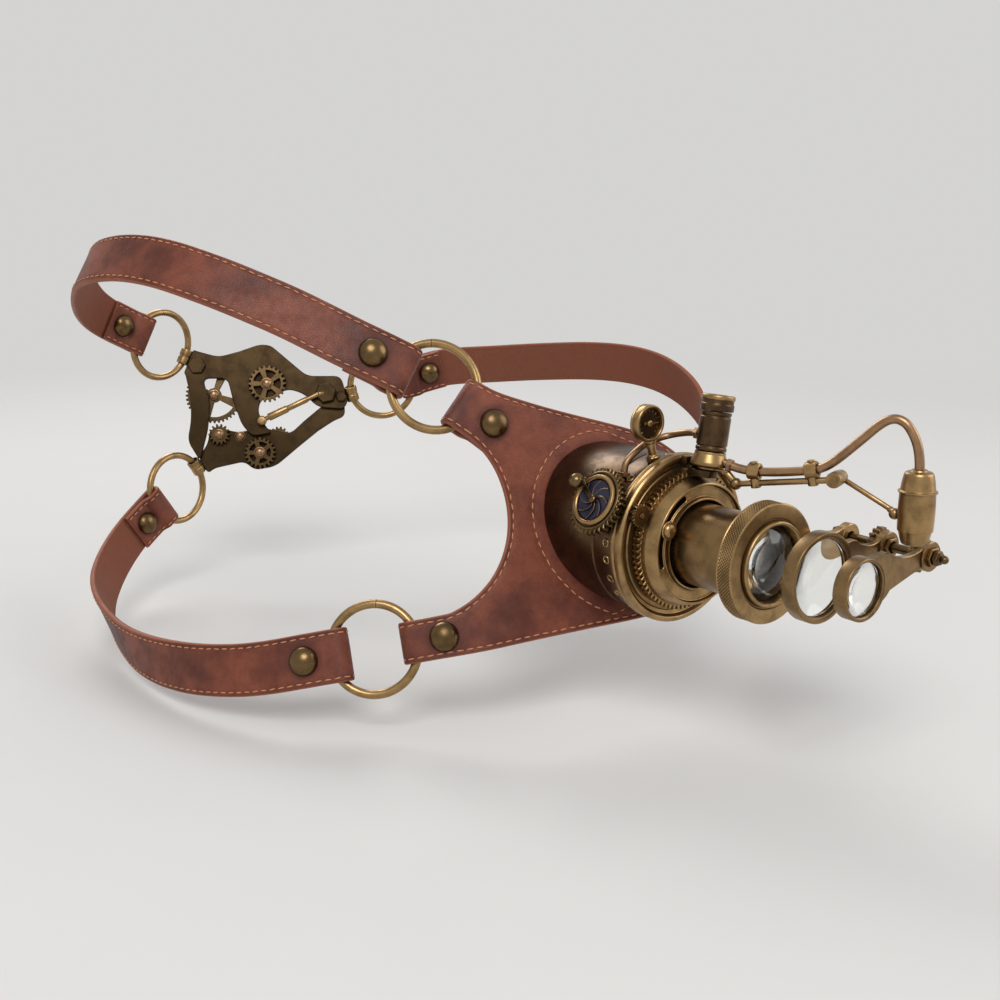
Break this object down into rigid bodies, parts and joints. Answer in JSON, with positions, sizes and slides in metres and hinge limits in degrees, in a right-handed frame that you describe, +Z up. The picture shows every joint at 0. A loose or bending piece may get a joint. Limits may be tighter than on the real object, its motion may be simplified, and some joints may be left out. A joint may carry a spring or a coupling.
{
  "type": "single-lens goggle",
  "caption": "Leather-strapped eye goggle with a brass lens barrel, focus gear train, swing loupes, side lamp arm, pressure gauge and a clockwork back plate.",
  "frame": {"origin": "the wearer's eye point on the lens axis, about 11 mm behind the front of the leather there", "axes": "+Z up, the lens looks along -Y, so +Y runs back through the head and +X is the wearer's left"},
  "size_m": [0.2462, 0.3528, 0.1587],
  "materials": {
    "leather": "mottled reddish-brown saddle leather with tan stitching",
    "pad_suede": "soft paler suede",
    "antique_brass": "satin antique brass, darker in the recesses",
    "dark_bronze": "dark satin bronze",
    "copper": "aged copper",
    "steel": "worn steel",
    "lens_glass": "clear polished glass",
    "iris_enamel": "dark blue enamel with blade lines"
  },
  "bodies": {
    "headgear": {"eye_patch": "leather", "strap_upper": "leather", "strap_lower": "leather", "strap_far": "leather", "face_pad": "pad_suede", "rivet_patch_upper": "antique_brass", "rivet_patch_lower": "antique_brass", "rivet_patch_far": "antique_brass", "rivet_upper_front": "antique_brass", "rivet_lower_front": "antique_brass", "rivet_far_front": "antique_brass", "rivet_upper_back": "antique_brass", "rivet_lower_back": "antique_brass", "rivet_far_back": "antique_brass", "eyepiece_retainer": "antique_brass", "front_flange": "antique_brass", "guide_peg": "antique_brass", "gauge_case": "antique_brass", "canister_body": "antique_brass", "main_barrel": "dark_bronze", "clamp_ring": "dark_bronze", "canister_post": "dark_bronze", "back_plate_upper": "dark_bronze", "back_plate_lower": "dark_bronze", "pressure_pipe": "copper", "strut": "copper", "eyepiece_lens": "lens_glass"},
    "focus_ring": {"focus_ring": "antique_brass"},
    "pinion": {"pinion": "steel"},
    "crank": {"crank_wheel": "antique_brass", "iris_disc": "iris_enamel", "crank_handle": "antique_brass"},
    "focus_tube": {"focus_tube": "dark_bronze", "objective_bezel": "antique_brass", "objective_lens": "lens_glass", "loupe_rod": "steel"},
    "objective_ring": {"objective_ring": "antique_brass"},
    "loupe_mid": {"loupe_mid_frame": "antique_brass", "loupe_mid_glass": "lens_glass"},
    "loupe_front": {"loupe_front_frame": "antique_brass", "loupe_front_glass": "lens_glass"},
    "needle": {"gauge_needle": "steel"},
    "lamp_arm": {"canister_foot": "antique_brass", "feed_pipe": "copper", "brace_rod": "antique_brass", "brace_link": "antique_brass", "lamp_body": "antique_brass", "lamp_glass": "lens_glass"},
    "cap": {"canister_cap": "copper"},
    "gear_large": {"gear_large": "antique_brass"},
    "gear_lower": {"gear_lower": "antique_brass"},
    "gear_small": {"gear_small": "antique_brass"},
    "ring_upper_front": {"ring_upper_front": "antique_brass"},
    "ring_lower_front": {"ring_lower_front": "antique_brass"},
    "ring_far_front": {"ring_far_front": "antique_brass"},
    "ring_upper_back": {"ring_upper_back": "antique_brass"},
    "ring_lower_back": {"ring_lower_back": "antique_brass"},
    "ring_far_back": {"ring_far_back": "antique_brass"}
  },
  "joints": [
    {"name": "focus_ring_turn", "type": "hinge", "parent": "headgear", "child": "focus_ring", "pos_m": [0, -0.043, 0], "axis": [0, 1, 0], "range_deg": [-40, 40]},
    {"name": "pinion_spin", "type": "hinge", "parent": "headgear", "child": "pinion", "pos_m": [-0.02234, 0, 0.01163], "axis": [0, 1, 0], "range_deg": [-362, 362]},
    {"name": "crank_spin", "type": "hinge", "parent": "headgear", "child": "crank", "pos_m": [-0.02661, -0.0296, 0.01385], "axis": [-0.887, 0, 0.4617], "range_deg": [-82, 82]},
    {"name": "focus_slide", "type": "slide", "parent": "headgear", "child": "focus_tube", "axis": [0, -1, 0], "range_m": [-0.0031, 0.0031]},
    {"name": "objective_ring_turn", "type": "hinge", "parent": "focus_tube", "child": "objective_ring", "pos_m": [0, -0.075, 0], "axis": [0, 1, 0], "continuous": true},
    {"name": "loupe_mid_swing", "type": "hinge", "parent": "focus_tube", "child": "loupe_mid", "pos_m": [0.0326, -0.095, 0.004], "axis": [0, -1, 0], "range_deg": [0, 115]},
    {"name": "loupe_front_swing", "type": "hinge", "parent": "focus_tube", "child": "loupe_front", "pos_m": [0.0326, -0.11, 0.004], "axis": [0, -1, 0], "range_deg": [0, 115]},
    {"name": "gauge_needle_turn", "type": "hinge", "parent": "headgear", "child": "needle", "pos_m": [-0.011, -0.0344, 0.03835], "axis": [0, 1, 0], "range_deg": [-135, 135]},
    {"name": "lamp_arm_swing", "type": "hinge", "parent": "headgear", "child": "lamp_arm", "pos_m": [0.0003, -0.0505, 0.0222], "axis": [0.1573, 0, 0.9875], "range_deg": [-18, 3]},
    {"name": "canister_cap_turn", "type": "hinge", "parent": "headgear", "child": "cap", "pos_m": [0.00392, -0.0505, 0.04491], "axis": [0.1573, 0, 0.9875], "continuous": true},
    {"name": "gear_large_spin", "type": "hinge", "parent": "headgear", "child": "gear_large", "pos_m": [-0.02318, 0.20975, 0.02591], "axis": [-0.4988, -0.8147, 0.2959], "continuous": true},
    {"name": "gear_lower_spin", "type": "hinge", "parent": "headgear", "child": "gear_lower", "pos_m": [-0.03148, 0.20366, -0.00484], "axis": [-0.4988, -0.8147, 0.2959], "continuous": true},
    {"name": "gear_small_spin", "type": "hinge", "parent": "headgear", "child": "gear_small", "pos_m": [-0.04607, 0.21565, 0.00356], "axis": [-0.4988, -0.8147, 0.2959], "continuous": true},
    {"name": "ring_upper_front_turn", "type": "hinge", "parent": "headgear", "child": "ring_upper_front", "pos_m": [-0.0507, 0.02734, 0.04663], "axis": [-0.361, -0.8619, 0.356], "continuous": true},
    {"name": "ring_lower_front_turn", "type": "hinge", "parent": "headgear", "child": "ring_lower_front", "pos_m": [-0.08144, 0.01915, -0.03777], "axis": [-0.6732, -0.6671, 0.3189], "continuous": true},
    {"name": "ring_far_front_turn", "type": "hinge", "parent": "headgear", "child": "ring_far_front", "pos_m": [0.0517, 0.00285, -0.01162], "axis": [0.7147, -0.6784, 0.1703], "continuous": true},
    {"name": "ring_upper_back_turn", "type": "hinge", "parent": "headgear", "child": "ring_upper_back", "pos_m": [-0.0664, 0.2291, 0.0457], "axis": [-0.2507, 0.9628, 0.1003], "continuous": true},
    {"name": "ring_lower_back_turn", "type": "hinge", "parent": "headgear", "child": "ring_lower_back", "pos_m": [-0.0694, 0.213, -0.0184], "axis": [-0.2996, 0.9488, -0.0999], "continuous": true},
    {"name": "ring_far_back_turn", "type": "hinge", "parent": "headgear", "child": "ring_far_back", "pos_m": [0.0227, 0.182, 0.0252], "axis": [0.4004, 0.9109, 0.1001], "continuous": true}
  ],
  "couplings": [
    {"joint": "pinion_spin", "follows": "focus_ring_turn", "ratio": -9},
    {"joint": "crank_spin", "follows": "focus_ring_turn", "ratio": -2},
    {"joint": "focus_slide", "follows": "focus_ring_turn", "m_per_rad": 0.0042972}
  ]
}
